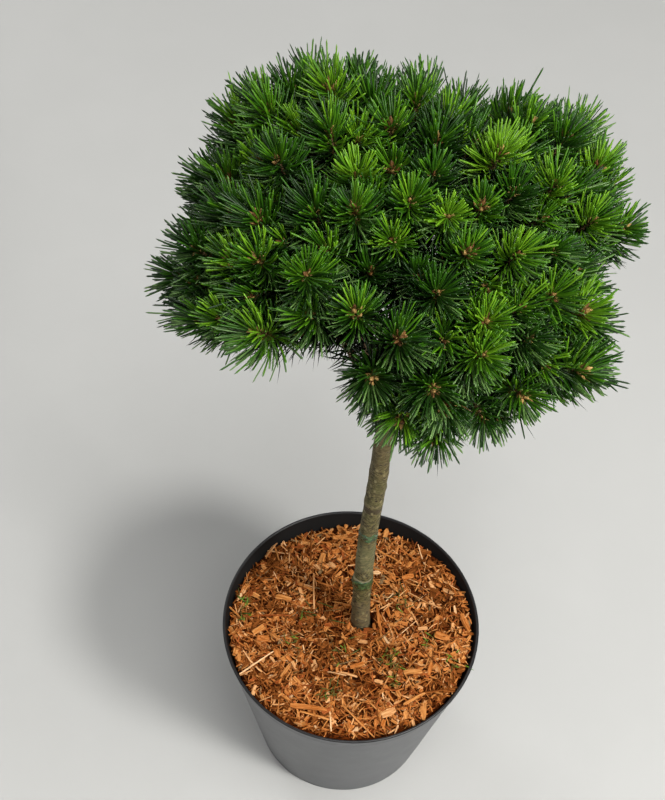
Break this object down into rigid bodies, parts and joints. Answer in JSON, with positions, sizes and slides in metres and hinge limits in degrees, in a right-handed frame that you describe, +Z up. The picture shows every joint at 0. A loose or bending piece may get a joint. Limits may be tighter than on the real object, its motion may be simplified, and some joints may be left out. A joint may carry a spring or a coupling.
{
  "type": "potted dwarf pine standard",
  "caption": "Dwarf pine grafted on a bare stem: a dense flattened dome of needle rosettes over a slim trunk, in a round nursery pot filled with bark mulch.",
  "frame": {"origin": "middle of the pot's flat underside", "axes": "+Z up along the trunk, +X to the right and +Y to the back, as seen from the front"},
  "size_m": [0.2708, 0.2424, 0.6623],
  "materials": {
    "pot_plastic": "satin black nursery plastic, greyed by a soft sheen and a little dust",
    "potting_soil": "moist dark potting soil, matte",
    "bark_mulch": "fine orange-brown bark chips and shreds, dry and matte",
    "trunk_bark": "grey-olive bark with small dark specks, matte",
    "bough_bark": "brown scaly young bark, matte",
    "needles": "mid to deep green needles with a soft waxy sheen, buds pale brown",
    "plant_tie": "green stretch tie, slightly glossy"
  },
  "bodies": {
    "root": {"pot": "pot_plastic", "soil": "potting_soil", "mulch": "bark_mulch", "trunk": "trunk_bark", "tie_lower": "plant_tie", "tie_upper": "plant_tie", "bough_lower_left": "bough_bark", "bough_lower_front": "bough_bark", "bough_lower_front_right": "bough_bark", "bough_lower_right": "bough_bark", "bough_lower_back_right": "bough_bark", "bough_lower_back": "bough_bark", "bough_lower_back_left": "bough_bark", "bough_left": "bough_bark", "bough_front_left": "bough_bark", "bough_front": "bough_bark", "bough_front_right": "bough_bark", "bough_right": "bough_bark", "bough_back_right": "bough_bark", "bough_back": "bough_bark", "bough_back_left": "bough_bark", "bough_top_left": "bough_bark", "bough_top_front": "bough_bark", "bough_top_right": "bough_bark", "bough_top_back": "bough_bark", "foliage_lower_left": "needles", "foliage_lower_front": "needles", "foliage_lower_front_right": "needles", "foliage_lower_right": "needles", "foliage_lower_back_right": "needles", "foliage_lower_back": "needles", "foliage_lower_back_left": "needles", "foliage_left": "needles", "foliage_front_left": "needles", "foliage_front": "needles", "foliage_front_right": "needles", "foliage_right": "needles", "foliage_back_right": "needles", "foliage_back": "needles", "foliage_back_left": "needles", "foliage_top_left": "needles", "foliage_top_front": "needles", "foliage_top_right": "needles", "foliage_top_back": "needles"}
  },
  "joints": []
}
